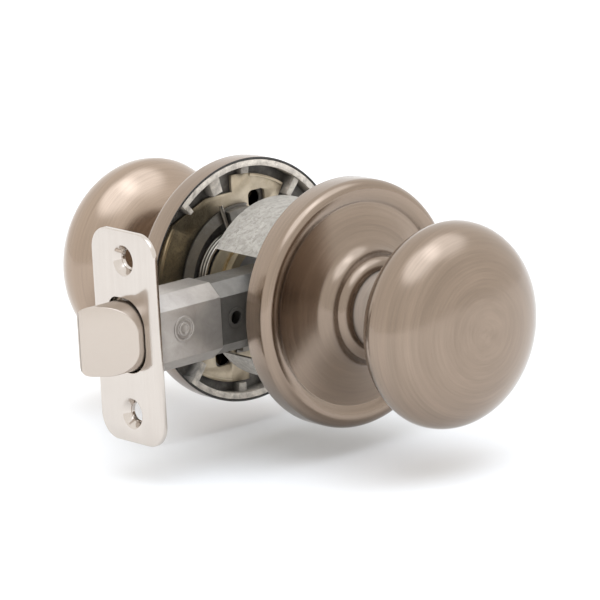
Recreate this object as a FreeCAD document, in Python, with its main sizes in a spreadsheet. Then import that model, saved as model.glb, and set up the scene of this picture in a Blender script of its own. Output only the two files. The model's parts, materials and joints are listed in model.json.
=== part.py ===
import FreeCAD, Part
import math
import os
import Sketcher

V3 = FreeCAD.Vector

# Two-sided passage knob set with a tubular spring latch.
# Frame: the knobs turn about Y and the latch runs along X, the two axes cross
# at the origin, +Z is up.  The bolt points to -X, the outside knob is at -Y.
# Lengths are millimetres.  "u" is the distance from a rose's door-side plane,
# measured away from the door.

doc = FreeCAD.newDocument("DoorKnob")
sheet = doc.addObject("Spreadsheet::Sheet", "Dims")

DIMS = [
    # roses
    ("outside_plane", -16.2), ("inside_plane", 21.5),
    ("rose_rad", 33.4), ("rose_rim_depth", 5.2), ("rose_sheet", 0.55),
    ("lip_rad", 30.9), ("lip_depth", 7.95),
    ("groove_out_rad", 27.9), ("groove_out_depth", 7.25),
    ("groove_in_rad", 27.3), ("groove_depth", 6.78),
    ("floor_end_rad", 17.3), ("floor_end_depth", 9.75),
    ("dish_top_rad", 14.35), ("dish_top_depth", 13.6),
    ("collar_wall_rad", 14.3), ("collar_wall_depth", 14.2),
    ("collar_hole_rad", 11.1), ("collar_crest_depth", 17.25),
    ("rose_screw_rad", 2.4),
    # liner
    ("liner_rad", 32.7), ("liner_wall_rad", 31.05),
    ("liner_floor_u", 4.95), ("liner_floor_t", 0.7),
    ("cup_rad", 18.1), ("cup_t", 0.8), ("cup_floor_u", 7.3),
    ("boss_rad", 12.3), ("boss_end_u", 14.0),
    # mounting plate
    ("plate_u", 3.7), ("plate_t", 0.9), ("plate_rad", 24.9), ("lobe_rad", 29.2),
    ("plate_hole_rad", 18.0), ("ear_rad", 28.5), ("ear_rim_rad", 27.75),
    ("ear_rim_h", 0.4), ("square_w", 5.9), ("square_h", 4.7),
    ("square_x", 7.35), ("square_z", 20.75),
    # spring cage and return spring
    ("cage_rad", 20.5), ("cage_in_rad", 17.1), ("cage_u", 3.0), ("cage_t", 0.65),
    ("spring_coil_rad", 12.8), ("spring_wire", 1.1),
    # knob
    ("knob_rad", 27.45), ("knob_mid_u", 42.0), ("knob_tip_u", 57.0),
    ("knob_sheet", 0.9), ("neck_rad", 10.9), ("neck_end_u", 14.5),
    ("neck_flare_u", 24.42), ("flare_rad", 5.95),
    # shank, hub sleeve, spindle
    ("shank_rad", 9.97), ("shank_in_u", 30.0), ("shank_out_u", -5.0),
    ("hub_rad", 12.0), ("hub_u0", -5.9), ("hub_u1", 2.4),
    ("ring_rad", 12.7), ("ring_u", -3.3), ("ring_t", 0.8),
    ("spindle_rad", 4.5), ("spindle_flat", 1.5), ("fit_gap", 0.05),
    # bore sleeve and posts
    ("sleeve_rad", 24.5), ("sleeve_in_rad", 23.6), ("sleeve_end_y", 10.6),
    ("sleeve_window_z", 14.2), ("sleeve_window_y", -10.8),
    ("post_rad", 2.0), ("post_hole_rad", 1.4), ("post_x", 6.5), ("post_z", 20.4),
    # latch
    ("face_x", -60.3), ("face_t", 1.4), ("face_w", 25.4), ("face_hgt", 57.15),
    ("face_corner", 6.35), ("face_screw_z", 20.65), ("face_screw_rad", 2.5),
    ("face_sink_rad", 4.1),
    ("open_y0", -7.2), ("open_y1", 7.2), ("open_z0", -9.6), ("open_z1", 10.3),
    ("open_r_low_near", 7.2), ("open_r_low_far", 3.6),
    ("open_r_top_far", 3.5), ("open_r_top_near", 7.6),
    ("back_w", 21.4), ("back_hgt", 30.6), ("back_t", 1.5),
    ("case_w", 16.7), ("case_hgt", 20.6), ("case_side", 13.6), ("case_top", 8.3),
    ("case_wall", 0.5), ("front_case_end", -35.0),
    ("rear_w", 15.5), ("rear_hgt", 19.5), ("rear_side", 12.8), ("rear_top", 7.6),
    ("rear_case_start", -39.4), ("rear_case_end", 14.0),
    ("bolt_y0", -6.8), ("bolt_y1", 6.1), ("bolt_z0", -9.1), ("bolt_z1", 9.6),
    ("bolt_r_low_near", 7.0), ("bolt_r_low_far", 3.2),
    ("bolt_r_top_far", 3.4), ("bolt_r_top_near", 7.2),
    ("bolt_tip_x", -72.0), ("bolt_tail_x", -52.0), ("bevel_start", 1.8),
    ("cam_hub_rad", 5.9), ("cam_reach", 9.05), ("cam_half_w", 2.6),
    ("horn_front", -5.8), ("horn_back", -8.0),
    ("bar_y0", 3.0), ("bar_y1", 4.0), ("bar_z0", 6.15), ("bar_z1", 8.6),
    ("tab_x0", -5.65), ("tab_t", 1.6),
    ("bolt_spring_rad", 3.6), ("bolt_spring_wire", 0.8), ("spring_seat_x", -28.0),
]


class E:
    """A length that knows its number and its spreadsheet expression."""

    def __init__(self, val, ex):
        self.val = float(val)
        self.ex = ex

    def __add__(self, o):
        o = lift(o)
        return E(self.val + o.val, "(%s + %s)" % (self.ex, o.ex))

    def __sub__(self, o):
        o = lift(o)
        return E(self.val - o.val, "(%s - %s)" % (self.ex, o.ex))

    def __mul__(self, o):
        o = lift(o)
        return E(self.val * o.val, "(%s * %s)" % (self.ex, o.ex))

    def __truediv__(self, o):
        o = lift(o)
        return E(self.val / o.val, "(%s / %s)" % (self.ex, o.ex))

    def __radd__(self, o):
        return lift(o) + self

    def __rsub__(self, o):
        return lift(o) - self

    def __rmul__(self, o):
        return lift(o) * self

    def __neg__(self):
        return E(-self.val, "(0 - %s)" % self.ex)


def lift(x):
    if isinstance(x, E):
        return x
    return E(x, "(%.6f)" % float(x))


D = {}
for row, (alias, value) in enumerate(DIMS, start=1):
    sheet.set("A%d" % row, alias)
    sheet.set("B%d" % row, "%.4f" % value)
    sheet.setAlias("B%d" % row, alias)
    D[alias] = E(value, "Dims." + alias)
doc.recompute()


def plane(body, role):
    for f in body.Origin.OriginFeatures:
        if f.Role == role:
            return f
    raise RuntimeError("no plane " + role)


def new_body(label):
    b = doc.addObject("PartDesign::Body", label)
    b.Label = label
    return b


def new_sketch(b, name, role, offset=None):
    s = b.newObject("Sketcher::SketchObject", name)
    s.AttachmentSupport = [(plane(b, role), "")]
    s.MapMode = "FlatFace"
    if offset is not None:
        off = lift(offset)
        s.AttachmentOffset = FreeCAD.Placement(V3(0, 0, off.val), FreeCAD.Rotation())
        s.setExpression("AttachmentOffset.Base.z", off.ex)
    return s


def bind(s, idx, e):
    s.setExpression("Constraints[%d]" % idx, e.ex)


def fix_point(s, geo, pos, x, y):
    """Locks a sketch point at (x, y), both bound to the sheet."""
    for kind, e in (("DistanceX", x), ("DistanceY", y)):
        if abs(e.val) < 1e-9 and e.ex == "(0.000000)":
            axis = -2 if kind == "DistanceX" else -1
            s.addConstraint(Sketcher.Constraint("PointOnObject", geo, pos, axis))
        else:
            i = s.addConstraint(Sketcher.Constraint(kind, -1, 1, geo, pos, e.val))
            bind(s, i, e)


def arc_through(p, q, rad, side):
    """Arc of the given radius from p to q that bulges to the left for side +1."""
    dx, dy = q[0] - p[0], q[1] - p[1]
    L = math.hypot(dx, dy)
    if rad < L / 2.0:
        raise RuntimeError("arc radius too small")
    sag = rad - math.sqrt(rad * rad - L * L / 4.0)
    nx, ny = -dy / L, dx / L
    m = V3((p[0] + q[0]) / 2 + nx * sag * side, (p[1] + q[1]) / 2 + ny * sag * side, 0)
    # a sketch keeps every arc anticlockwise, so one that turns the other way
    # is stored from q to p, and its ends are named the other way round
    if side < 0:
        return Part.Arc(V3(p[0], p[1], 0), m, V3(q[0], q[1], 0)), False
    return Part.Arc(V3(q[0], q[1], 0), m, V3(p[0], p[1], 0)), True


def loop(s, pts, arcs=None):
    """Closed outline through pts; arcs maps a segment number to (radius, side)."""
    arcs = arcs or {}
    pts = [(lift(a), lift(b)) for a, b in pts]
    n = len(pts)
    first = s.GeometryCount
    flipped = []
    for i in range(n):
        p, q = pts[i], pts[(i + 1) % n]
        P, Q = (p[0].val, p[1].val), (q[0].val, q[1].val)
        if i in arcs:
            rad, side = arcs[i]
            g, back = arc_through(P, Q, lift(rad).val, side)
            s.addGeometry(g, False)
            flipped.append(back)
        else:
            s.addGeometry(Part.LineSegment(V3(P[0], P[1], 0), V3(Q[0], Q[1], 0)), False)
            flipped.append(False)
    for i in range(n):
        j = (i + 1) % n
        end = 1 if flipped[i] else 2
        start = 2 if flipped[j] else 1
        s.addConstraint(Sketcher.Constraint("Coincident", first + i, end, first + j, start))
    for i in range(n):
        start = 2 if flipped[i] else 1
        fix_point(s, first + i, start, pts[i][0], pts[i][1])
    for i, (rad, side) in arcs.items():
        rad = lift(rad)
        k = s.addConstraint(Sketcher.Constraint("Radius", first + i, rad.val))
        bind(s, k, rad)


def circle(s, x, y, rad):
    x, y, rad = lift(x), lift(y), lift(rad)
    g = s.addGeometry(Part.Circle(V3(x.val, y.val, 0), V3(0, 0, 1), rad.val), False)
    k = s.addConstraint(Sketcher.Constraint("Radius", g, rad.val))
    bind(s, k, rad)
    fix_point(s, g, 3, x, y)


def rect(s, x0, y0, x1, y1):
    loop(s, [(x0, y0), (x1, y0), (x1, y1), (x0, y1)])


def volume(b):
    doc.recompute()
    return b.Shape.Volume


def revolve(b, s):
    f = b.newObject("PartDesign::Revolution", s.Name + "_turn")
    f.Profile = s
    f.ReferenceAxis = (s, ["V_Axis"])
    f.Angle = 360.0
    s.Visibility = False
    return f


def groove(b, s):
    before = volume(b)
    f = b.newObject("PartDesign::Groove", s.Name + "_groove")
    f.Profile = s
    f.ReferenceAxis = (s, ["V_Axis"])
    f.Angle = 360.0
    if volume(b) >= before - 1e-6:
        raise RuntimeError("groove cut nothing: " + s.Name)
    return f


def pad(b, s, length, towards):
    """Pads a sketch; towards is the world direction (+1 or -1 along its axis)."""
    length = lift(length)
    f = b.newObject("PartDesign::Pad", s.Name + "_pad")
    f.Profile = s
    f.Length = length.val
    f.setExpression("Length", length.ex)
    normal = s.getGlobalPlacement().Rotation.multVec(V3(0, 0, 1))
    sign = normal.x + normal.y + normal.z
    f.Reversed = (sign * towards) < 0
    return f


def pocket(b, s, length, towards):
    """Cuts a sketch away over a length in the world direction given."""
    before = volume(b)
    length = lift(length)
    f = b.newObject("PartDesign::Pocket", s.Name + "_cut")
    f.Profile = s
    f.Type = 0
    f.Length = length.val
    f.setExpression("Length", length.ex)
    normal = s.getGlobalPlacement().Rotation.multVec(V3(0, 0, 1))
    sign = normal.x + normal.y + normal.z
    f.Reversed = (sign * towards) > 0
    if volume(b) >= before - 1e-6:
        raise RuntimeError("pocket cut nothing: " + s.Name)
    return f


def fillet(b, want, rad):
    """Rounds the edges that the test 'want' picks on the body's last feature."""
    doc.recompute()
    base = b.Tip
    names = ["Edge%d" % (i + 1) for i, e in enumerate(base.Shape.Edges) if want(e)]
    if not names:
        raise RuntimeError("no edges to round on " + b.Label)
    f = b.newObject("PartDesign::Fillet", b.Name + "_round%d" % len(b.Group))
    f.Base = (base, names)
    rad = lift(rad)
    f.Radius = rad.val
    f.setExpression("Radius", rad.ex)
    doc.recompute()
    if f.Shape.isNull() or not f.Shape.isValid() or "Invalid" in f.State:
        raise RuntimeError("round failed on " + b.Label)
    return f


def along(e, axis, at=None, tol=1e-4):
    """True for a straight edge along the named axis."""
    if not isinstance(e.Curve, Part.Line) and e.Curve.TypeId != "Part::GeomLine":
        return False
    d = e.Curve.Direction
    c = {"X": abs(d.x), "Y": abs(d.y), "Z": abs(d.z)}[axis]
    return c > 1 - tol


PIECES = []


def keep(b):
    PIECES.append(b)
    return b


# ---------------------------------------------------------------- roses etc.
def ring_arc(s, r0, r1, a0, a1):
    """Sector of a ring between two angles (degrees), sketched flat."""
    r0, r1 = lift(r0), lift(r1)
    c0, s0 = math.cos(math.radians(a0)), math.sin(math.radians(a0))
    c1, s1 = math.cos(math.radians(a1)), math.sin(math.radians(a1))
    pts = [(r0 * c0, r0 * s0), (r1 * c0, r1 * s0), (r1 * c1, r1 * s1), (r0 * c1, r0 * s1)]
    loop(s, pts, {1: (r1, -1), 3: (r0, 1)})


def superellipse(rad, mid, tip, n, count, a_max=90.0):
    out = []
    for i in range(count):
        a = math.radians(a_max * i / (count - 1))
        out.append((rad * max(math.cos(a), 0.0) ** (2.0 / n),
                    mid + (tip - mid) * max(math.sin(a), 0.0) ** (2.0 / n)))
    return out


def tangent_chain(s, pts, t0, flip):
    """Arcs through the points, each tangent to the one before it."""
    first = s.GeometryCount
    tx, ty = t0
    flipped = []
    for (p, q) in zip(pts[:-1], pts[1:]):
        P = (p[0].val, p[1].val)
        Q = (q[0].val, q[1].val)
        dx, dy = Q[0] - P[0], Q[1] - P[1]
        L2 = dx * dx + dy * dy
        cross = tx * dy - ty * dx
        rad = L2 / (2 * cross) if abs(cross) > 1e-9 else 1e6
        cx, cy = P[0] - ty * rad, P[1] + tx * rad
        # half the turn along the arc gives its middle point
        half = math.atan2(cross, tx * dx + ty * dy)
        a = math.atan2(P[1] - cy, P[0] - cx) + half
        m = V3(cx + abs(rad) * math.cos(a), cy + abs(rad) * math.sin(a), 0)
        if cross > 0:
            s.addGeometry(Part.Arc(V3(P[0], P[1], 0), m, V3(Q[0], Q[1], 0)), False)
        else:
            s.addGeometry(Part.Arc(V3(Q[0], Q[1], 0), m, V3(P[0], P[1], 0)), False)
        flipped.append(cross < 0)
        c2, s2 = math.cos(2 * half), math.sin(2 * half)
        tx, ty = tx * c2 - ty * s2, tx * s2 + ty * c2
    return first, flipped


def build_side(side, y0, s):
    """All the pieces that one half of the set carries; s is +1 inside, -1 outside."""
    pre = side + "_"

    def Y(u):
        return y0 + lift(u) * float(s)

    d = D
    t = d["rose_sheet"]

    # Rose: pressed sheet cover with rolled lip, groove, hollow dish and collar.
    b = new_body(pre + "rose")
    sk = new_sketch(b, pre + "rose_outline", "XY_Plane")
    prof = [
        (d["rose_rad"], 0), (d["rose_rad"], d["rose_rim_depth"]),
        (d["lip_rad"], d["lip_depth"]), (d["groove_out_rad"], d["groove_out_depth"]),
        (d["groove_in_rad"], d["groove_depth"]), (d["floor_end_rad"], d["floor_end_depth"]),
        (d["dish_top_rad"], d["dish_top_depth"]),
        (d["collar_wall_rad"], d["collar_wall_depth"]),
        (d["collar_hole_rad"], d["collar_crest_depth"]),
        (d["collar_hole_rad"], d["collar_crest_depth"] - 0.6),
        (d["collar_wall_rad"] - 0.6, d["collar_wall_depth"] - 0.1),
        (d["dish_top_rad"] - 0.59, d["dish_top_depth"] - 0.11),
        (d["floor_end_rad"] - 0.25, d["floor_end_depth"] - 0.54),
        (d["groove_in_rad"] - 0.08, d["groove_depth"] - 0.59),
        (d["groove_out_rad"] + 0.2, d["groove_out_depth"] - 0.6),
        (d["lip_rad"], d["lip_depth"] - 0.6),
        (d["rose_rad"] - t, d["rose_rim_depth"]), (d["rose_rad"] - t, 0),
    ]
    o = -s  # bulge direction follows the mirror
    arcs = {1: (2.85, o), 2: (6.8, o), 4: (35.3, -o), 5: (5.25, -o), 7: (3.2, o),
            9: (2.6, -o), 11: (5.85, o), 12: (35.9, o), 14: (6.2, -o), 15: (2.25, -o)}
    loop(sk, [(r, Y(u)) for r, u in prof], arcs)
    revolve(b, sk)
    if side == "inside":
        # countersunk holes for the two through screws
        sk = new_sketch(b, "rose_screw_holes", "XZ_Plane", -(y0 + 2.0))
        circle(sk, d["post_x"], d["post_z"], d["rose_screw_rad"])
        circle(sk, -d["post_x"], -d["post_z"], d["rose_screw_rad"])
        pocket(b, sk, 20.0, 1)
    keep(b)

    # Liner: die-cast ring and floor inside the rose, with ribs and a bearing boss.
    b = new_body(pre + "rose_liner")
    sk = new_sketch(b, pre + "liner_outline", "XY_Plane")
    fu, ft = d["liner_floor_u"], d["liner_floor_t"]
    loop(sk, [(r, Y(u)) for r, u in [
        (d["liner_rad"], 0.1), (d["liner_rad"], fu - 0.6), (d["liner_rad"] - 1.4, fu + ft),
        (d["cup_rad"] + d["cup_t"], fu + ft),
        (d["cup_rad"] + d["cup_t"], d["cup_floor_u"] + 0.8), (d["boss_rad"], d["cup_floor_u"] + 0.8),
        (d["boss_rad"], d["boss_end_u"]), (d["shank_rad"] + d["fit_gap"], d["boss_end_u"]),
        (d["shank_rad"] + d["fit_gap"], d["cup_floor_u"]), (d["cup_rad"], d["cup_floor_u"]),
        (d["cup_rad"], fu), (d["liner_wall_rad"], fu), (d["liner_wall_rad"], 0.1)]])
    revolve(b, sk)
    # ribs and bosses standing on the floor, the same ones half a turn round
    k = 0
    for (r0, r1, a0, a1, u0) in [
            (25.9, 31.5, 49.0, 52.7, 1.0), (28.8, 31.5, 82.6, 87.6, 2.2),
            (26.3, 31.5, 104.2, 111.2, 1.2), (27.9, 31.5, 127.7, 130.3, 1.0)]:
        for turn in (0, 180):
            k += 1
            sk = new_sketch(b, pre + "rib%d" % k, "XZ_Plane", -Y(u0))
            ring_arc(sk, r0, r1, a0 + turn, a1 + turn)
            pad(b, sk, fu + 0.3 - u0, s)
    # the wall is left open on the two sides that face the latch and the hinge
    for k, turn in enumerate((0, 180)):
        sk = new_sketch(b, pre + "liner_gap%d" % k, "XZ_Plane", -Y(0.0))
        ring_arc(sk, 29.6, 34.0, 131.5 if k == 0 else 311.5, 227.5 if k == 0 else 394.0)
        pocket(b, sk, fu - 0.2, s)
    # clearance holes for the two screw posts
    sk = new_sketch(b, pre + "liner_holes", "XZ_Plane", -Y(3.0))
    circle(sk, d["post_x"], d["post_z"], 3.0)
    circle(sk, -d["post_x"], -d["post_z"], 3.0)
    pocket(b, sk, 7.0, s)
    keep(b)

    # Mounting plate: plated steel disc with two ears.
    b = new_body(pre + "mounting_plate")
    sk = new_sketch(b, pre + "plate_outline", "XZ_Plane", -Y(d["plate_u"]))
    pts, arcs = [], {}
    R, RE, RL = d["plate_rad"], d["ear_rad"], d["lobe_rad"]
    # an ear, a flat shoulder and a wide lobe, then the same half a turn round
    for base in (0.0, 180.0):
        n = len(pts)
        for ang, rr in ((53.0, R), (53.5, RE), (92.5, RE), (92.87, RE - 4.57),
                        (113.7, R + 1.2), (132.0, RL - 1.6), (140.0, RL), (215.0, RL),
                        (226.0, R)):
            ca = math.cos(math.radians(ang + base))
            sa = math.sin(math.radians(ang + base))
            pts.append((rr * ca, rr * sa))
        arcs[n + 1] = (RE, -1)
        arcs[n + 6] = (RL, -1)
        arcs[n + 8] = (R, -1)
    loop(sk, pts, arcs)
    circle(sk, 0, 0, d["plate_hole_rad"])
    pad(b, sk, d["plate_t"], s)
    # raised step along the outer edge of each ear, on the door side
    for k, turn in enumerate((0, 180)):
        sk = new_sketch(b, pre + "ear_step%d" % k, "XZ_Plane", -Y(d["plate_u"] - d["ear_rim_h"]))
        ring_arc(sk, d["ear_rim_rad"], d["ear_rad"] - 0.02, 54.5 + turn, 79.5 + turn)
        pad(b, sk, d["ear_rim_h"] + 0.2, s)
        # turned-up edge of the lobe
        sk = new_sketch(b, pre + "lobe_edge%d" % k, "XZ_Plane", -Y(d["plate_u"] - d["ear_rim_h"]))
        ring_arc(sk, d["lobe_rad"] - 1.3, d["lobe_rad"] - 0.02, 141.5 + turn, 213.5 + turn)
        pad(b, sk, d["ear_rim_h"] + 0.2, s)
    if side == "inside":
        qx, qz = d["square_w"] * 0.5, d["square_h"] * 0.5
        sk = new_sketch(b, pre + "square_holes", "XZ_Plane", -Y(d["plate_u"] - 1.0))
        X, Z = d["square_x"], d["square_z"]
        rect(sk, X - qx, Z - qz, X + qx, Z + qz)
        rect(sk, -X - qx, -Z - qz, -X + qx, -Z + qz)
        pocket(b, sk, 4.0, s)
        fillet(b, lambda e: along(e, "Y") and e.Length < 2.0 and
               abs(abs(abs(e.Vertexes[0].X) - X.val) - qx.val) < 0.1 and
               abs(abs(abs(e.Vertexes[0].Z) - Z.val) - qz.val) < 0.1, 1.4)
    keep(b)

    # Spring cage: stepped ring on the plate, with two stop lugs and a rib.
    b = new_body(pre + "spring_cage")
    sk = new_sketch(b, pre + "cage_outline", "XY_Plane")
    loop(sk, [(r, Y(u)) for r, u in [
        (d["cage_rad"], d["cage_u"]), (d["cage_rad"], d["cage_u"] + d["cage_t"]),
        (d["cage_in_rad"] + 0.8, d["cage_u"] + d["cage_t"]),
        (d["cage_in_rad"] + 0.8, 7.2), (d["cage_in_rad"], 7.2),
        (d["cage_in_rad"], d["cage_u"])]])
    revolve(b, sk)
    k = 0
    for (r0, r1, w0, w1, u0, depth) in [
            (15.0, 19.8, 82.0, 103.6, 1.0, 2.3), (15.0, 19.8, 262.0, 283.6, 1.0, 2.3),
            (16.6, 21.6, 178.0, 182.0, 1.6, 1.6), (16.6, 21.6, -2.0, 2.0, 1.6, 1.6)]:
        k += 1
        sk = new_sketch(b, pre + "cage_lug%d" % k, "XZ_Plane", -Y(u0))
        ring_arc(sk, r0, r1, w0, w1)
        pad(b, sk, depth, s)
    # notches that clear the screw posts and their holes
    for k, turn in enumerate((0, 180)):
        sk = new_sketch(b, pre + "cage_notch%d" % k, "XZ_Plane", -Y(2.0))
        ring_arc(sk, d["plate_hole_rad"] - 0.05, 22.5, 60.0 + turn, 81.0 + turn)
        pocket(b, sk, 1.68, s)
    keep(b)

    # Return spring: close-wound torsion spring round the shank, legs radial.
    sp = doc.addObject("Part::Feature", pre + "return_spring")
    sp.Label = pre + "return_spring"
    rc, wire = d["spring_coil_rad"].val, d["spring_wire"].val
    turns, pitch = 3.75, wire + 0.06
    parts = []
    helix = Part.makeHelix(pitch, turns * pitch, rc)
    w = Part.Wire(helix.Edges)
    circ = Part.Wire([Part.makeCircle(wire / 2, V3(rc, 0, 0), V3(0, 1, 0))])
    body = w.makePipeShell([circ], True, True)
    leg0 = Part.makeCylinder(wire / 2, 9.9, V3(rc - 0.2, 0, 0), V3(1, 0, 0))
    ang = math.radians(360 * turns)
    dirv = V3(math.cos(ang), math.sin(ang), 0)
    leg1 = Part.makeCylinder(wire / 2, 4.0, dirv * (rc - 0.2) + V3(0, 0, turns * pitch), dirv)
    spring = body.fuse([leg0, leg1])
    if len(spring.Solids) != 1:
        raise RuntimeError("return spring is not one solid")
    sp.Shape = spring.Solids[0]
    start = y0.val + s * 2.3
    if s > 0:
        rot = FreeCAD.Rotation(V3(1, 0, 0), -90)
    else:
        rot = FreeCAD.Rotation(V3(1, 0, 0), 90)
    spin = FreeCAD.Rotation(V3(0, 1, 0), -107)
    sp.Placement = FreeCAD.Placement(V3(0, start, 0), spin.multiply(rot))
    PIECES.append(sp)

    # Knob: hollow turned shell with a straight neck.
    b = new_body(pre + "knob")
    sk = new_sketch(b, pre + "knob_outline", "XY_Plane")
    knob_outline(sk, Y, s)
    revolve(b, sk)
    keep(b)

    # Shank: solid hub with a D-shaped socket for the spindle.
    b = new_body(pre + "knob_shank")
    sk = new_sketch(b, pre + "shank_round", "XZ_Plane", -Y(d["shank_out_u"]))
    circle(sk, 0, 0, d["shank_rad"])
    pad(b, sk, d["shank_in_u"] - d["shank_out_u"], s)
    sk = new_sketch(b, pre + "shank_socket", "XZ_Plane", -Y(d["shank_out_u"] - 1.0))
    d_shape(sk, d["spindle_rad"] + d["fit_gap"], d["spindle_flat"] + d["fit_gap"])
    pocket(b, sk, 30.0, s)
    keep(b)

    # Hub sleeve: steel tube staked on the shank, with a turned-over end.
    b = new_body(pre + "hub_sleeve")
    sk = new_sketch(b, pre + "hub_outline", "XY_Plane")
    rin = d["shank_rad"] + 0.03
    loop(sk, [(r, Y(u)) for r, u in [
        (rin, d["hub_u1"]), (d["hub_rad"], d["hub_u1"]), (d["hub_rad"], d["hub_u0"] + 0.9),
        (d["hub_rad"] + 0.45, d["hub_u0"] + 0.9), (d["hub_rad"] + 0.45, d["hub_u0"]),
        (rin, d["hub_u0"])]])
    revolve(b, sk)
    keep(b)

    # Retaining ring round the hub sleeve.
    b = new_body(pre + "retaining_ring")
    sk = new_sketch(b, pre + "ring_outline", "XY_Plane")
    loop(sk, [(r, Y(u)) for r, u in [
        (d["hub_rad"] + 0.02, d["ring_u"]), (d["ring_rad"], d["ring_u"]),
        (d["ring_rad"], d["ring_u"] + d["ring_t"]), (d["hub_rad"] + 0.02, d["ring_u"] + d["ring_t"])]])
    revolve(b, sk)
    # gap of the split ring
    sk = new_sketch(b, pre + "ring_gap", "XZ_Plane", -Y(d["ring_u"] - 0.5))
    rect(sk, -1.6, 10.0, 1.6, 14.0)
    pocket(b, sk, 2.0, s)
    keep(b)

    # Bearing washer between the liner's boss and the end of the knob's neck.
    b = new_body(pre + "bearing_washer")
    sk = new_sketch(b, pre + "washer_outline", "XY_Plane")
    loop(sk, [(r, Y(u)) for r, u in [
        (d["shank_rad"] + 0.08, d["boss_end_u"] + 0.02), (12.6, d["boss_end_u"] + 0.02),
        (12.6, d["neck_end_u"] - 0.03), (d["shank_rad"] + 0.08, d["neck_end_u"] - 0.03)]])
    revolve(b, sk)
    keep(b)


def d_shape(s, rad, flat):
    """Circle cut by a flat below its centre."""
    rad, flat = lift(rad), lift(flat)
    x = math.sqrt(rad.val ** 2 - flat.val ** 2)
    # the flat's half length follows from the radius and the flat's depth
    xe = E(x, "(sqrt(%s * %s - %s * %s))" % (rad.ex, rad.ex, flat.ex, flat.ex))
    a = Part.Arc(V3(x, -flat.val, 0), V3(0, rad.val, 0), V3(-x, -flat.val, 0))
    g0 = s.addGeometry(a, False)
    g1 = s.addGeometry(Part.LineSegment(V3(-x, -flat.val, 0), V3(x, -flat.val, 0)), False)
    s.addConstraint(Sketcher.Constraint("Coincident", g0, 2, g1, 1))
    s.addConstraint(Sketcher.Constraint("Coincident", g1, 2, g0, 1))
    s.addConstraint(Sketcher.Constraint("Coincident", g0, 3, -1, 1))
    k = s.addConstraint(Sketcher.Constraint("Radius", g0, rad.val))
    bind(s, k, rad)
    s.addConstraint(Sketcher.Constraint("Horizontal", g1))
    k = s.addConstraint(Sketcher.Constraint("DistanceY", g1, 1, -1, 1, flat.val))
    bind(s, k, flat)


FRONT_N, BACK_N = 2.2, 1.72


def knob_outline(s, Y, sgn):
    d = D

    def curve(rad, mid, tip, neck, back_tip):
        """Outline from the crown over the rim to the neck, with bound points."""
        pts = []
        front = superellipse(1.0, 0.0, 1.0, FRONT_N, 5)[::-1]
        for a, c in front:
            a = round(a, 6)
            c = round(c, 6)
            pts.append((rad * a if a > 1e-6 else lift(0), Y(mid + (tip - mid) * c)))
        back = superellipse(1.0, 0.0, 1.0, BACK_N, 6)
        for a, c in back[1:]:
            r = rad.val * a
            if r < neck.val + 3.4:
                continue
            pts.append((rad * round(a, 6), Y(mid - (mid - back_tip) * round(c, 6))))
        return pts

    t = d["knob_sheet"]
    outer = curve(d["knob_rad"], d["knob_mid_u"], d["knob_tip_u"], d["neck_rad"],
                  d["knob_mid_u"] - 15.4)
    inner = curve(d["knob_rad"] - t, d["knob_mid_u"], d["knob_tip_u"] - t,
                  d["neck_rad"] - t, d["knob_mid_u"] - 14.4)
    geo = []

    def chain(pts, neck_r, rad):
        first, flipped = tangent_chain(s, pts, (1.0, 0.0), False)
        n = len(flipped)
        for i in range(n):
            st, en = (2, 1) if flipped[i] else (1, 2)
            if i == 0:
                fix_point(s, first, st, pts[0][0], pts[0][1])
                s.addConstraint(Sketcher.Constraint("PointOnObject", first, 3, -2))
            if i + 1 < n:
                st2 = 2 if flipped[i + 1] else 1
                s.addConstraint(Sketcher.Constraint("Tangent", first + i, en, first + i + 1, st2))
            fix_point(s, first + i, en, pts[i + 1][0], pts[i + 1][1])
        last = first + n - 1
        last_end = 1 if flipped[-1] else 2
        # fillet-like flare into the neck
        P = (pts[-1][0].val, pts[-1][1].val)
        flare = Y(d["neck_flare_u"])
        Q = (neck_r.val, flare.val)
        rad = lift(rad)
        g, fl = arc_through(P, Q, rad.val, -1 if sgn > 0 else 1)
        gi = s.addGeometry(g, False)
        s.addConstraint(Sketcher.Constraint("Coincident", last, last_end, gi, 2 if fl else 1))
        k = s.addConstraint(Sketcher.Constraint("Radius", gi, rad.val))
        bind(s, k, rad)
        en = 1 if fl else 2
        fix_point(s, gi, en, neck_r, flare)
        return first, (2 if flipped[0] else 1), gi, en, neck_r, flare

    fo, so, go, eo, ro, yo = chain(outer, d["neck_rad"], d["flare_rad"])
    fi, si, gi2, ei, ri, yi = chain(inner, d["neck_rad"] - t, d["flare_rad"] + 1.0)
    end = Y(d["neck_end_u"])
    l1 = s.addGeometry(Part.LineSegment(V3(ro.val, yo.val, 0), V3(ro.val, end.val, 0)), False)
    l2 = s.addGeometry(Part.LineSegment(V3(ro.val, end.val, 0), V3(ri.val, end.val, 0)), False)
    l3 = s.addGeometry(Part.LineSegment(V3(ri.val, end.val, 0), V3(ri.val, yi.val, 0)), False)
    l4 = s.addGeometry(Part.LineSegment(V3(0, outer[0][1].val, 0), V3(0, inner[0][1].val, 0)), False)
    s.addConstraint(Sketcher.Constraint("Coincident", go, eo, l1, 1))
    s.addConstraint(Sketcher.Constraint("Coincident", l1, 2, l2, 1))
    s.addConstraint(Sketcher.Constraint("Coincident", l2, 2, l3, 1))
    s.addConstraint(Sketcher.Constraint("Coincident", l3, 2, gi2, ei))
    fix_point(s, l2, 1, ro, end)
    fix_point(s, l2, 2, ri, end)
    s.addConstraint(Sketcher.Constraint("Coincident", fo, so, l4, 1))
    s.addConstraint(Sketcher.Constraint("Coincident", fi, si, l4, 2))


build_side("outside", D["outside_plane"], -1)
build_side("inside", D["inside_plane"], 1)

d = D
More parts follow.
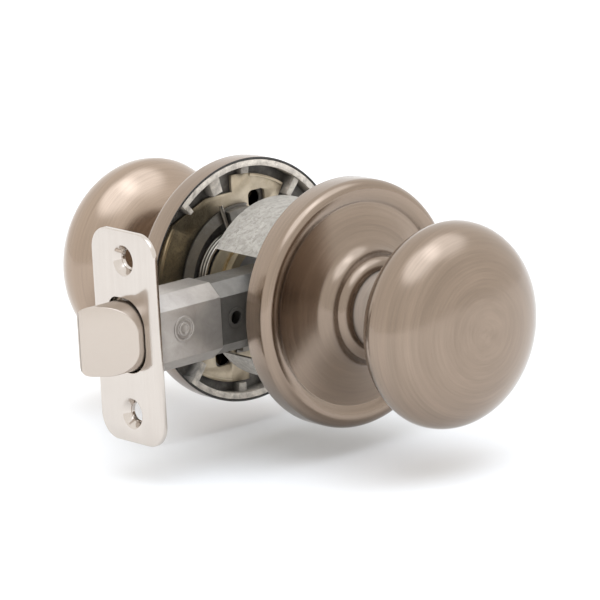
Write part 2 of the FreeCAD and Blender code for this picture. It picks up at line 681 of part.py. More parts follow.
# ------------------------------------------------------- bore sleeve, posts
# Bore sleeve: galvanised tube on the outside half, slotted for the latch case.
b = new_body("bore_sleeve")
sk = new_sketch(b, "sleeve_outline", "XY_Plane")
root_y = d["outside_plane"] - d["plate_u"]
loop(sk, [(d["sleeve_in_rad"], root_y), (d["sleeve_rad"], root_y),
          (d["sleeve_rad"], d["sleeve_end_y"]), (d["sleeve_in_rad"], d["sleeve_end_y"])])
revolve(b, sk)
sk = new_sketch(b, "sleeve_window", "YZ_Plane", -30.0)
rect(sk, d["sleeve_window_y"], -d["sleeve_window_z"],
     d["sleeve_end_y"] + 2.0, d["sleeve_window_z"])
pocket(b, sk, 60.0, 1)
keep(b)

# Screw posts: two tapped studs on the outside plate that the through screws enter.
b = new_body("screw_posts")
b.AllowCompound = True
sk = new_sketch(b, "post_rounds", "XZ_Plane", -root_y)
circle(sk, d["post_x"], d["post_z"], d["post_rad"])
circle(sk, -d["post_x"], -d["post_z"], d["post_rad"])
pad(b, sk, 24.0, 1)
sk = new_sketch(b, "post_taps", "XZ_Plane", -(root_y + 25.0))
circle(sk, d["post_x"], d["post_z"], d["post_hole_rad"])
circle(sk, -d["post_x"], -d["post_z"], d["post_hole_rad"])
pocket(b, sk, 15.0, -1)
keep(b)

# Spindle: D-section bar that both shanks and the latch cam ride on.
b = new_body("spindle")
sk = new_sketch(b, "spindle_section", "XZ_Plane", -(d["outside_plane"] - 22.0))
d_shape(sk, d["spindle_rad"], d["spindle_flat"])
pad(b, sk, 22.0 + 37.7 + 18.0, 1)
keep(b)


# -------------------------------------------------------------------- latch
def octagon(s, wid, hgt, side, top):
    """Case section: flat sides, flat top and bottom, straight corner flats."""
    w, h, a, c = wid * 0.5, hgt * 0.5, side * 0.5, top * 0.5
    loop(s, [(w, -a), (w, a), (c, h), (-c, h), (-w, a), (-w, -a), (-c, -h), (c, -h)])


def round_rect(s, wid, hgt, rad):
    """Rectangle on the origin with four corner arcs."""
    wid, hgt, rad = lift(wid), lift(hgt), lift(rad)
    w, h = wid * 0.5, hgt * 0.5
    loop(s, [(w, rad - h), (w, h - rad), (w - rad, h), (rad - w, h), (-w, h - rad),
             (-w, rad - h), (rad - w, -h), (w - rad, -h)],
         {1: (rad, -1), 3: (rad, -1), 5: (rad, -1), 7: (rad, -1)})


def round_box(s, x0, x1, z0, z1, low0, low1, top1, top0):
    """Rectangle whose four corners each have their own radius."""
    loop(s, [(x1, z0 + low1), (x1, z1 - top1), (x1 - top1, z1), (x0 + top0, z1), (x0, z1 - top0),
             (x0, z0 + low0), (x0 + low0, z0), (x1 - low1, z0)],
         {1: (top1, -1), 3: (top0, -1), 5: (low0, -1), 7: (low1, -1)})


def bolt_opening(s):
    round_box(s, d["open_y0"], d["open_y1"], d["open_z0"], d["open_z1"], d["open_r_low_near"],
              d["open_r_low_far"], d["open_r_top_far"], d["open_r_top_near"])


# Faceplate, with countersunk holes whose dimples stand out behind it.
b = new_body("latch_faceplate")
sk = new_sketch(b, "face_outline", "YZ_Plane", d["face_x"])
round_rect(sk, d["face_w"], d["face_hgt"], d["face_corner"])
bolt_opening(sk)
pad(b, sk, d["face_t"], 1)
for k, sg in enumerate((1.0, -1.0)):
    zc = d["face_screw_z"] * sg
    for name, rad, x0, length in (("dimple_wide", d["face_sink_rad"] + 0.7, 0.0, 2.1),
                                  ("dimple_nose", d["face_screw_rad"] + 0.9, 0.0, 2.8)):
        sk = new_sketch(b, "%s%d" % (name, k), "YZ_Plane", d["face_x"] + 0.3)
        circle(sk, 0, zc, rad)
        pad(b, sk, length, 1)
volume(b)
for k, sg in enumerate((1.0, -1.0)):
    zc = d["face_screw_z"] * sg
    sk = new_sketch(b, "face_hole%d" % k, "YZ_Plane", d["face_x"])
    circle(sk, 0, zc, d["face_screw_rad"] * 2.0)
    doc.recompute()
    h = b.newObject("PartDesign::Hole", "face_screw%d" % k)
    h.Profile = sk
    h.Threaded = False
    h.Diameter = 2 * d["face_screw_rad"].val
    h.setExpression("Diameter", "Dims.face_screw_rad * 2")
    h.DepthType = 0
    h.Depth = 8.0
    h.DrillPoint = 0
    h.HoleCutType = "Countersink"
    h.HoleCutDiameter = 2 * d["face_sink_rad"].val
    h.setExpression("HoleCutDiameter", "Dims.face_sink_rad * 2")
    h.HoleCutCountersinkAngle = 82.0
    h.Reversed = True
    before = b.Shape.Volume
    doc.recompute()
    if b.Shape.Volume >= before - 1e-6:
        h.Reversed = False
        doc.recompute()
    if b.Shape.Volume >= before - 1e-6:
        raise RuntimeError("screw hole cut nothing")
keep(b)

# Backing plate behind the faceplate, staked to the front case.
b = new_body("latch_backplate")
back_x = d["face_x"] + d["face_t"] + 0.02
sk = new_sketch(b, "back_outline", "YZ_Plane", back_x)
round_rect(sk, d["back_w"], d["back_hgt"], 2.2)
bolt_opening(sk)
pad(b, sk, d["back_t"], 1)
keep(b)

# Front case: thin eight-sided tube that guides the bolt.
b = new_body("latch_front_case")
fc_x = back_x + d["back_t"] + 0.02
sk = new_sketch(b, "front_case_section", "YZ_Plane", fc_x)
octagon(sk, d["case_w"], d["case_hgt"], d["case_side"], d["case_top"])
pad(b, sk, d["front_case_end"] - fc_x, 1)
w2 = d["case_wall"] * 2.0
sk = new_sketch(b, "front_case_bore", "YZ_Plane", fc_x - 1.0)
octagon(sk, d["case_w"] - w2, d["case_hgt"] - w2, d["case_side"] - 0.34, d["case_top"] - 0.34)
pocket(b, sk, d["front_case_end"] - fc_x + 2.0, 1)
# pressed double ring on each side of the case
for k, sg in enumerate((-1, 1)):
    yw = d["case_w"] * (0.5 * sg)
    for j, (r1, r0) in enumerate(((3.5, 2.75), (1.9, 1.2))):
        sk = new_sketch(b, "case_ring%d%d" % (k, j), "XZ_Plane", -(yw - 0.1 * sg))
        circle(sk, -47.8, 1.0, r1)
        circle(sk, -47.8, 1.0, r0)
        pad(b, sk, 0.42, sg)
keep(b)

# Rear case: slides inside the front case, carries the cam between its sides.
b = new_body("latch_rear_case")
sk = new_sketch(b, "rear_case_section", "YZ_Plane", d["rear_case_start"])
octagon(sk, d["rear_w"], d["rear_hgt"], d["rear_side"], d["rear_top"])
pad(b, sk, d["rear_case_end"] - d["rear_case_start"], 1)
sk = new_sketch(b, "rear_case_bore", "YZ_Plane", d["rear_case_start"] - 1.0)
octagon(sk, d["rear_w"] - w2, d["rear_hgt"] - w2, d["rear_side"] - 0.34, d["rear_top"] - 0.34)
pocket(b, sk, d["rear_case_end"] - d["rear_case_start"] + 1.0 - 0.6, 1)
# cross bores for the cam's hub
sk = new_sketch(b, "cam_bores", "XZ_Plane", -(-12.0 + lift(0.0)))
circle(sk, 0, 0, d["cam_hub_rad"] + 0.08)
pocket(b, sk, 24.0, 1)
# small side holes, with a raised rim on the outside of each
for k, sg in enumerate((-1, 1)):
    yw = d["rear_w"] * (0.5 * sg)
    sk = new_sketch(b, "side_rim%d" % k, "XZ_Plane", -(yw - 0.1 * sg))
    circle(sk, -29.6, 0.2, 2.75)
    pad(b, sk, 0.35, sg)
sk = new_sketch(b, "side_holes", "XZ_Plane", 12.0)
circle(sk, -29.6, 0.2, 1.8)
pocket(b, sk, 24.0, 1)
# spring seat: a tongue across the inside of the case
sk = new_sketch(b, "spring_seat", "YZ_Plane", d["spring_seat_x"] + 1.6)
rect(sk, -(d["rear_w"] * 0.5) + 0.3, -3.6, d["rear_w"] * 0.5 - 0.3, 3.6)
pad(b, sk, 0.8, 1)
keep(b)

# Bolt: rounded bar with one long bevelled face.
b = new_body("latch_bolt")
sk = new_sketch(b, "bolt_section", "YZ_Plane", d["bolt_tip_x"])
round_box(sk, d["bolt_y0"], d["bolt_y1"], d["bolt_z0"], d["bolt_z1"], d["bolt_r_low_near"],
          d["bolt_r_low_far"], d["bolt_r_top_far"], d["bolt_r_top_near"])
pad(b, sk, d["bolt_tail_x"] - d["bolt_tip_x"], 1)
tip = d["bolt_tip_x"]
near, far = d["bolt_y0"], d["bolt_y1"]
bevel_x = d["face_x"] - d["bevel_start"]
sk = new_sketch(b, "bolt_bevel", "XY_Plane", -15.0)
loop(sk, [(tip - 2.0, near - 2.0), (bevel_x, near - 2.0), (bevel_x, near),
          (tip + 0.35, far - 1.7), (tip, far - 0.7), (tip - 2.0, far - 0.7)])
pocket(b, sk, 30.0, 1)
keep(b)

# Cam: hub with a D-shaped hole and a hammer-shaped horn behind the axis.
b = new_body("latch_cam")
sk = new_sketch(b, "cam_hub", "XZ_Plane", d["rear_w"] * 0.5 + 0.4)
circle(sk, 0, 0, d["cam_hub_rad"])
pad(b, sk, d["rear_w"] + 0.8, 1)
sk = new_sketch(b, "cam_horn", "XZ_Plane", d["cam_half_w"])
rf, rb, rr = d["horn_front"], d["horn_back"], d["cam_reach"]
zf = E(math.sqrt(rr.val ** 2 - rf.val ** 2), "(sqrt(%s * %s - %s * %s))" % (rr.ex, rr.ex, rf.ex, rf.ex))
zb = E(math.sqrt(rr.val ** 2 - rb.val ** 2), "(sqrt(%s * %s - %s * %s))" % (rr.ex, rr.ex, rb.ex, rb.ex))
loop(sk, [(rf, -zf), (rf, -1.0 + lift(0)), (-4.0, -1.0 + lift(0)), (-4.0, 1.0 + lift(0)), (rf, 1.0 + lift(0)),
          (rf, zf), (rb, zb), (rb, -zb)],
     {5: (rr, -1), 7: (rr, -1)})
pad(b, sk, d["cam_half_w"] * 2.0, 1)
sk = new_sketch(b, "cam_socket", "XZ_Plane", 12.0)
d_shape(sk, d["spindle_rad"] + d["fit_gap"], d["spindle_flat"] + d["fit_gap"])
pocket(b, sk, 24.0, 1)
keep(b)

# Draw bar: two pairs of strips joined by a web at the bolt and tabs at the cam.
b = new_body("draw_bar")
tail = d["bolt_tail_x"] + 0.02
sk = new_sketch(b, "bar_web", "YZ_Plane", tail)
rect(sk, -d["bar_y1"], -d["bar_z1"], d["bar_y1"], d["bar_z1"])
pad(b, sk, 1.2, 1)
for k, sg in enumerate((1.0, -1.0)):
    for j, sy in enumerate((1.0, -1.0)):
        sk = new_sketch(b, "bar_strip%d%d" % (k, j), "YZ_Plane", tail + 1.0)
        ya, yb = d["bar_y0"] * sy, d["bar_y1"] * sy
        za, zb_ = d["bar_z0"] * sg, d["bar_z1"] * sg
        rect(sk, ya, za, yb, zb_)
        pad(b, sk, d["tab_x0"] + d["tab_t"] - tail - 1.0, 1)
    sk = new_sketch(b, "bar_tab%d" % k, "YZ_Plane", d["tab_x0"])
    za, zb_ = d["bar_z0"] * sg, d["bar_z1"] * sg
    rect(sk, -d["bar_y1"], za, d["bar_y1"], zb_)
    pad(b, sk, d["tab_t"], 1)
keep(b)

# Bolt spring: compression coil between the draw bar's web and the case's tongue.
sp = doc.addObject("Part::Feature", "bolt_spring")
sp.Label = "bolt_spring"
wire, rc = d["bolt_spring_wire"].val, d["bolt_spring_rad"].val - d["bolt_spring_wire"].val / 2
x0 = d["bolt_tail_x"].val + 0.02 + 1.2 + wire / 2 + 0.05
x1 = d["spring_seat_x"].val + 1.6 - wire / 2 - 0.05
turns = 9.0
helix = Part.makeHelix((x1 - x0) / turns, x1 - x0, rc)
w = Part.Wire(helix.Edges)
circ = Part.Wire([Part.makeCircle(wire / 2, V3(rc, 0, 0), V3(0, 1, 0))])
sp.Shape = w.makePipeShell([circ], True, True).Solids[0]
sp.Placement = FreeCAD.Placement(V3(x0, 0, 0), FreeCAD.Rotation(V3(0, 1, 0), 90))
PIECES.append(sp)

# ------------------------------------------------------------------- output
doc.recompute()
problems = []
for o in doc.Objects:
    if "Invalid" in o.State or "Error" in o.State:
        problems.append("%s: %s" % (o.Name, o.State))
for o in PIECES:
    if o.Shape.isNull() or not o.Shape.isValid() or not o.Shape.Solids:
        problems.append("%s: bad shape" % o.Label)
if problems:
    raise RuntimeError("; ".join(problems))
os.makedirs("parts", exist_ok=True)
for o in PIECES:
    bb = o.Shape.optimalBoundingBox()
    print("%-26s solids %d volume %9.1f  x %.2f..%.2f y %.2f..%.2f z %.2f..%.2f" % (
        o.Label, len(o.Shape.Solids), o.Shape.Volume,
        bb.XMin, bb.XMax, bb.YMin, bb.YMax, bb.ZMin, bb.ZMax))
    o.Shape.exportStep("parts/%s.step" % o.Label)
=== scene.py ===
import bpy, bmesh, math, json
from mathutils import Vector, Matrix

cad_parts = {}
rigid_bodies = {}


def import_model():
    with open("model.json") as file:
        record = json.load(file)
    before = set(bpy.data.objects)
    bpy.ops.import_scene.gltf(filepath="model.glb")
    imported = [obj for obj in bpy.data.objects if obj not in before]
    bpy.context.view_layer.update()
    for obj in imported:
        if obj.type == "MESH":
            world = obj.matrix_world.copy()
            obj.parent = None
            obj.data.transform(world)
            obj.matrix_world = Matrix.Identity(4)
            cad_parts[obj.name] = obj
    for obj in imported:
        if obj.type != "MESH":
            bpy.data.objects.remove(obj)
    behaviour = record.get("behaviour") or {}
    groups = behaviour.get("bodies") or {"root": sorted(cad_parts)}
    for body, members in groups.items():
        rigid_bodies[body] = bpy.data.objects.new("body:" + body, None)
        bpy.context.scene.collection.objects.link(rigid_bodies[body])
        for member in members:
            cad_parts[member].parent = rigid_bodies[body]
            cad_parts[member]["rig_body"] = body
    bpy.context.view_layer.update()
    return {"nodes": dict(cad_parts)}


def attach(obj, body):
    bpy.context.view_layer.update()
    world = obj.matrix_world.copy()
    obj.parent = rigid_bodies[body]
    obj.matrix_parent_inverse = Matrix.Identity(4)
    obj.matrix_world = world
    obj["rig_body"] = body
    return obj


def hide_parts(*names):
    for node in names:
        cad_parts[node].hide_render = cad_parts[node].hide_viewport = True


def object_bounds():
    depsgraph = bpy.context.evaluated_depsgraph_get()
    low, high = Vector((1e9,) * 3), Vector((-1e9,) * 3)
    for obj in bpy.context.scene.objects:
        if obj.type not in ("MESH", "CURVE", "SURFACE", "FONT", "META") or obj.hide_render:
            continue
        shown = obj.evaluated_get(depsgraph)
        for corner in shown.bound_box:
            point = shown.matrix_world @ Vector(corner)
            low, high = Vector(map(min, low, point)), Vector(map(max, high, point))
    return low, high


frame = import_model()
N = frame["nodes"]
scene = bpy.context.scene
MM = 0.001
YO, YI = -16.2, 21.5          # door-side planes of the outside and inside roses

# ------------------------------------------------------------------ camera
AZ, EL, ROLL = math.radians(-40.255), math.radians(14.098), math.radians(-3.216)
DIST = 1660.556 * MM
right = Vector((math.cos(AZ), math.sin(AZ), 0.0))
back = Vector((math.sin(AZ) * math.cos(EL), -math.cos(AZ) * math.cos(EL), math.sin(EL)))
up = back.cross(right)
c, s = math.cos(ROLL), math.sin(ROLL)
r2 = right * c + up * s
u2 = up * c - right * s
target = right * (1.215 * MM) + Vector((0, 2.65 * MM, -2.885 * MM))
cam_data = bpy.data.cameras.new("camera")
cam_data.sensor_width = 36.0
cam_data.lens = 6207.71 / 600.0 * 36.0
cam_data.clip_start = 0.05
cam_data.clip_end = 40.0
cam = bpy.data.objects.new("camera", cam_data)
scene.collection.objects.link(cam)
loc = target + back * DIST
cam.matrix_world = Matrix(((r2.x, u2.x, back.x, loc.x), (r2.y, u2.y, back.y, loc.y),
                           (r2.z, u2.z, back.z, loc.z), (0, 0, 0, 1)))
scene.camera = cam
scene.view_settings.view_transform = "Standard"
scene.view_settings.look = "None"
scene.view_settings.exposure = 0.0
scene.view_settings.gamma = 1.0


# --------------------------------------------------------------- node helpers
class G:
    """Small wrapper for building a material's node tree."""

    def __init__(self, name):
        self.m = bpy.data.materials.new(name)
        self.m.use_nodes = True
        self.t = self.m.node_tree
        self.t.nodes.clear()
        self.out = self.t.nodes.new("ShaderNodeOutputMaterial")
        self.p = self.t.nodes.new("ShaderNodeBsdfPrincipled")
        self.t.links.new(self.p.outputs[0], self.out.inputs[0])
        self.obj = self.t.nodes.new("ShaderNodeTexCoord").outputs["Object"]
        self._xyz = None

    def put(self, sock, v):
        if isinstance(v, bpy.types.NodeSocket):
            self.t.links.new(v, sock)
        elif isinstance(v, (tuple, list)) and len(v) == 3 and sock.type == "RGBA":
            sock.default_value = (*v, 1.0)
        else:
            sock.default_value = v

    def set(self, **kw):
        for k, v in kw.items():
            self.put(self.p.inputs[k.replace("_", " ")], v)

    def math(self, op, a, b=0.0, c=None, clamp=False):
        n = self.t.nodes.new("ShaderNodeMath")
        n.operation = op
        n.use_clamp = clamp
        self.put(n.inputs[0], a)
        self.put(n.inputs[1], b)
        if c is not None:
            self.put(n.inputs[2], c)
        return n.outputs[0]

    def vmath(self, op, a, b=(0, 0, 0)):
        n = self.t.nodes.new("ShaderNodeVectorMath")
        n.operation = op
        self.put(n.inputs[0], a)
        if op not in ("LENGTH", "NORMALIZE"):
            self.put(n.inputs[1], b)
        return n.outputs["Value" if op in ("LENGTH", "DOT_PRODUCT") else "Vector"]

    def xyz(self):
        if self._xyz is None:
            n = self.t.nodes.new("ShaderNodeSeparateXYZ")
            self.put(n.inputs[0], self.obj)
            self._xyz = n.outputs
        return self._xyz

    def vec(self, x, y, z):
        n = self.t.nodes.new("ShaderNodeCombineXYZ")
        for i, v in enumerate((x, y, z)):
            self.put(n.inputs[i], v)
        return n.outputs[0]

    def noise(self, vec, scale=1.0, detail=2.0, rough=0.5, w=None, distort=0.0):
        n = self.t.nodes.new("ShaderNodeTexNoise")
        if w is not None:
            n.noise_dimensions = "4D"
            self.put(n.inputs["W"], w)
        self.put(n.inputs["Vector"], vec)
        n.inputs["Scale"].default_value = scale
        n.inputs["Detail"].default_value = detail
        n.inputs["Roughness"].default_value = rough
        n.inputs["Distortion"].default_value = distort
        return n.outputs[0]

    def voronoi(self, vec, scale, feature="F1", rnd=1.0):
        n = self.t.nodes.new("ShaderNodeTexVoronoi")
        n.feature = feature
        self.put(n.inputs["Vector"], vec)
        n.inputs["Scale"].default_value = scale
        n.inputs["Randomness"].default_value = rnd
        return n.outputs

    def remap(self, v, a0, a1, b0, b1, smooth=False):
        n = self.t.nodes.new("ShaderNodeMapRange")
        n.interpolation_type = "SMOOTHSTEP" if smooth else "LINEAR"
        self.put(n.inputs["Value"], v)
        for k, x in (("From Min", a0), ("From Max", a1), ("To Min", b0), ("To Max", b1)):
            self.put(n.inputs[k], x)
        return n.outputs[0]

    def mix(self, fac, a, b):
        n = self.t.nodes.new("ShaderNodeMix")
        n.data_type = "RGBA"
        self.put(n.inputs["Factor"], fac)
        self.put(n.inputs[6], a)
        self.put(n.inputs[7], b)
        return n.outputs[2]

    def scale_color(self, col, f):
        n = self.t.nodes.new("ShaderNodeMix")
        n.data_type = "RGBA"
        n.blend_type = "MULTIPLY"
        n.inputs["Factor"].default_value = 1.0
        self.put(n.inputs[6], col)
        g = self.vec(f, f, f)
        self.put(n.inputs[7], g)
        return n.outputs[2]

    def bump(self, height, strength=0.2, distance=0.0001, normal=None):
        n = self.t.nodes.new("ShaderNodeBump")
        n.inputs["Strength"].default_value = strength
        n.inputs["Distance"].default_value = distance
        self.put(n.inputs["Height"], height)
        if normal is not None:
            self.put(n.inputs["Normal"], normal)
        return n.outputs[0]

    def ao(self, dist=0.004, samples=6):
        n = self.t.nodes.new("ShaderNodeAmbientOcclusion")
        n.samples = samples
        n.inputs["Distance"].default_value = dist
        return n.outputs["AO"]


def satin_nickel(name, plane=None, sgn=-1, painted_occlusion=0.0, necks_painted_light=(), painted_light_gain=1.0):
    """Lacquered satin nickel, brushed in circles about the knob axis."""
    g = G(name)
    X, Y, Z = g.xyz()
    flat = g.vec(X, 0.0, Z)
    rad = g.vmath("LENGTH", flat)
    unit = g.vmath("NORMALIZE", flat)
    sx = g.t.nodes.new("ShaderNodeSeparateXYZ")
    g.put(sx.inputs[0], unit)
    cx, cz = sx.outputs[0], sx.outputs[2]

    def rings(k, swirl, detail, rough):
        v = g.vec(g.math("MULTIPLY", rad, k), g.math("MULTIPLY", Y, k), g.math("MULTIPLY", cx, swirl))
        return g.noise(v, 1.0, detail, rough, w=g.math("MULTIPLY", cz, swirl))

    fine = rings(5200.0, 1.6, 2.0, 0.6)
    mid = rings(1500.0, 1.1, 2.0, 0.55)
    broad = rings(260.0, 0.8, 1.0, 0.5)
    tones = g.math("ADD", g.math("MULTIPLY", fine, 0.42),
                   g.math("ADD", g.math("MULTIPLY", mid, 0.42), g.math("MULTIPLY", broad, 0.25)))
    # painted light: the gain scales the whole colour up for a brighter-painted copy of the nickel
    val = g.remap(tones, 0.30, 0.80, 0.82 * painted_light_gain, 1.18 * painted_light_gain)
    base = g.mix(broad, (0.260, 0.1965, 0.1475), (0.287, 0.2195, 0.1675))
    # faint darker film where handling and lacquer gather
    cloud = g.noise(g.obj, 60.0, 3.0, 0.6)
    base = g.mix(g.remap(cloud, 0.35, 0.75, 0.0, 0.25), base, (0.226, 0.169, 0.126))
    base = g.scale_color(base, val)
    # painted shade: ambient occlusion darkens the colour in hollows and between parts
    if painted_occlusion:
        base = g.scale_color(base, g.remap(g.ao(0.026, 8), 0.30, 0.92, 1.0 - painted_occlusion, 1.0))
    metal = 1.0
    if plane is not None:
        # the cut rim and the inside of the cover (bare pressed steel) are painted near-black as the shade of the
        # gap and the hollow, and made less metallic
        u = g.math("MULTIPLY", g.math("SUBTRACT", Y, plane * MM), float(sgn))
        rim = g.math("LESS_THAN", u, 0.00012)
        wall = g.math("MULTIPLY", g.math("LESS_THAN", rad, 0.03302), g.math("LESS_THAN", u, 0.0052))
        painted_rim_shade = g.math("MAXIMUM", rim, wall)
        base = g.mix(painted_rim_shade, base, (0.020, 0.017, 0.014))
        metal = g.math("SUBTRACT", 1.0, g.math("MULTIPLY", painted_rim_shade, 0.7))
    for y0, sg in necks_painted_light:
        # painted light: the neck is made paler and less metallic than the ball, so it reads lit instead of showing
        # the dark reflection of the collar
        u = g.math("MULTIPLY", g.math("SUBTRACT", Y, y0 * MM), float(sg))
        m = g.math("MULTIPLY", g.remap(u, 0.0225, 0.0262, 1.0, 0.0, smooth=True), g.math("GREATER_THAN", u, 0.010))
        m = g.math("MULTIPLY", m, g.remap(rad, 0.0125, 0.0150, 1.0, 0.0, smooth=True))
        base = g.mix(m, base, g.scale_color((0.34, 0.285, 0.24), val))
        metal = g.math("SUBTRACT", metal, g.math("MULTIPLY", m, 0.75))
    g.set(Base_Color=base, Metallic=metal)
    g.set(Roughness=g.remap(tones, 0.3, 0.8, 0.15, 0.26))
    g.set(Anisotropic=0.45, Anisotropic_Rotation=0.25)
    tan = g.t.nodes.new("ShaderNodeTangent")
    tan.direction_type = "RADIAL"
    tan.axis = "Y"
    g.put(g.p.inputs["Tangent"], tan.outputs[0])
    hgt = g.math("ADD", g.math("MULTIPLY", fine, 0.6), g.math("MULTIPLY", mid, 0.4))
    g.set(Normal=g.bump(hgt, 0.14, 0.00006))
    g.set(Coat_Weight=0.5, Coat_Roughness=0.24, Coat_IOR=1.45)
    return g.m


def brushed(name, a, b, axis="Z", rough=(0.24, 0.36), metallic=1.0, aniso=0.5, grain=9000.0,
            blotch=0.15, coat=0.0, bump=0.12):
    """Straight-grained satin metal; the grain runs along the axis."""
    g = G(name)
    X, Y, Z = g.xyz()
    k = {"X": (0.02, 1, 1), "Y": (1, 0.02, 1), "Z": (1, 1, 0.02)}[axis]
    v = g.vec(g.math("MULTIPLY", X, k[0]), g.math("MULTIPLY", Y, k[1]), g.math("MULTIPLY", Z, k[2]))
    fine = g.noise(v, grain, 3.0, 0.6)
    mid = g.noise(v, grain / 6.0, 2.0, 0.5)
    cloud = g.noise(g.obj, 140.0, 4.0, 0.6)
    tones = g.math("ADD", g.math("MULTIPLY", fine, 0.6), g.math("MULTIPLY", mid, 0.4))
    base = g.mix(g.remap(tones, 0.3, 0.7, 0.0, 1.0), a, b)
    base = g.mix(g.remap(cloud, 0.4, 0.8, 0.0, blotch), base, tuple(0.72 * x for x in a))
    g.set(Base_Color=base, Metallic=metallic)
    g.set(Roughness=g.remap(tones, 0.3, 0.7, rough[0], rough[1]))
    g.set(Anisotropic=aniso)
    tan = g.t.nodes.new("ShaderNodeTangent")
    tan.direction_type = "RADIAL"
    tan.axis = axis
    if axis == "Z":
        g.put(g.p.inputs["Tangent"], tan.outputs[0])
    g.set(Normal=g.bump(tones, bump, 0.00005))
    if coat:
        g.set(Coat_Weight=coat, Coat_Roughness=0.15)
    return g.m


def cast(name, a, b, rough=0.52, metallic=0.85, scale=1.0, pits=0.35, recess_shade=None):
    """Die-cast or plated metal: fine grain, soft clouds, painted shade in the corners.

    recess_shade = (y of the open side, direction, depth where the painted shade starts, depth where
    it is full, tone there)."""
    g = G(name)
    X, Y, Z = g.xyz()
    grain = g.noise(g.obj, 2600.0 * scale, 4.0, 0.7)
    cloud = g.noise(g.obj, 210.0 * scale, 4.0, 0.6, distort=0.4)
    base = g.mix(g.remap(cloud, 0.3, 0.7, 0.0, 1.0), a, b)
    speck = g.remap(grain, 0.55, 0.75, 0.0, pits)
    base = g.mix(speck, base, tuple(0.55 * x for x in a))
    # painted shade: ambient occlusion darkens the colour in corners and between parts
    ao_shade = g.remap(g.ao(0.004), 0.25, 0.95, 0.40, 1.0)
    base = g.scale_color(base, ao_shade)
    # painted shade: the colour darkens with depth from the open side, standing for the shadow in the recess
    if recess_shade:
        y0, sgn, u0, u1, t = recess_shade
        u = g.math("MULTIPLY", g.math("SUBTRACT", Y, y0 * MM), float(sgn))
        base = g.scale_color(base, g.remap(u, u0 * MM, u1 * MM, 1.0, t, smooth=True))
    g.set(Base_Color=base, Metallic=metallic)
    g.set(Roughness=g.math("ADD", rough, g.math("MULTIPLY", g.math("SUBTRACT", grain, 0.5), 0.3)))
    hgt = g.math("ADD", g.math("MULTIPLY", grain, 0.5), g.math("MULTIPLY", cloud, 0.5))
    g.set(Normal=g.bump(hgt, 0.35, 0.00015))
    return g.m


def chromate(name, y0, sgn):
    """Zinc-plated plate: cream on the ears and olive-brown on the lobes, partly the plating's tone and partly
    painted light and shade, a painted gold highlight on the lobes' edge, and painted shade in the corners.
    """
    g = G(name)
    X, Y, Z = g.xyz()
    rad = g.vmath("LENGTH", g.vec(X, 0.0, Z))
    ang = g.math("ARCTAN2", Z, X)
    # twice the angle folds the two equal halves on top of each other
    turn = g.math("WRAP", ang, math.pi, 0.0)
    grain = g.noise(g.obj, 2400.0, 4.0, 0.7)
    cloud = g.noise(g.obj, 330.0, 4.0, 0.65, distort=0.5)
    wob = g.math("ADD", turn, g.math("MULTIPLY", g.math("SUBTRACT", cloud, 0.5), 0.10))
    ear = g.math("MULTIPLY", g.remap(wob, math.radians(40), math.radians(50), 0.0, 1.0, True),
                 g.remap(wob, math.radians(103), math.radians(117), 1.0, 0.0, True))
    # the cream ears and olive-brown lobes are partly the plating's tone and partly painted light and shade
    cream = g.mix(g.remap(cloud, 0.35, 0.7, 0.0, 1.0), (0.50, 0.415, 0.295), (0.62, 0.53, 0.40))
    olive = g.mix(g.remap(cloud, 0.35, 0.7, 0.0, 1.0), (0.13, 0.104, 0.067), (0.22, 0.18, 0.118))
    olive = g.mix(g.remap(grain, 0.50, 0.70, 0.0, 0.6), olive, (0.045, 0.036, 0.025))
    olive = g.mix(g.math("MULTIPLY", g.remap(grain, 0.36, 0.30, 0.0, 1.0), 0.5), olive, (0.26, 0.20, 0.11))
    # painted highlight: a gold strip on the outer edge of the lobes
    gold_highlight = g.mix(cloud, (0.34, 0.25, 0.14), (0.62, 0.48, 0.30))
    edge = g.math("MULTIPLY", g.math("GREATER_THAN", rad, 0.02785),
                  g.remap(wob, math.radians(138), math.radians(150), 0.0, 1.0, True))
    edge = g.math("MULTIPLY", edge, g.remap(wob, math.radians(158), math.radians(172), 1.0, 0.0, True))
    base = g.mix(ear, olive, cream)
    base = g.mix(edge, base, gold_highlight)
    # painted shade: ambient occlusion darkens the colour in corners and between parts
    base = g.scale_color(base, g.remap(g.ao(0.003), 0.3, 0.95, 0.45, 1.0))
    g.set(Base_Color=base, Metallic=g.remap(ear, 0.0, 1.0, 0.8, 0.5))
    g.set(Roughness=g.math("ADD", 0.40, g.math("MULTIPLY", g.math("SUBTRACT", grain, 0.5), 0.3)))
    g.set(Normal=g.bump(g.math("ADD", g.math("MULTIPLY", grain, 0.6), g.math("MULTIPLY", cloud, 0.4)), 0.3, 0.0001))
    return g.m


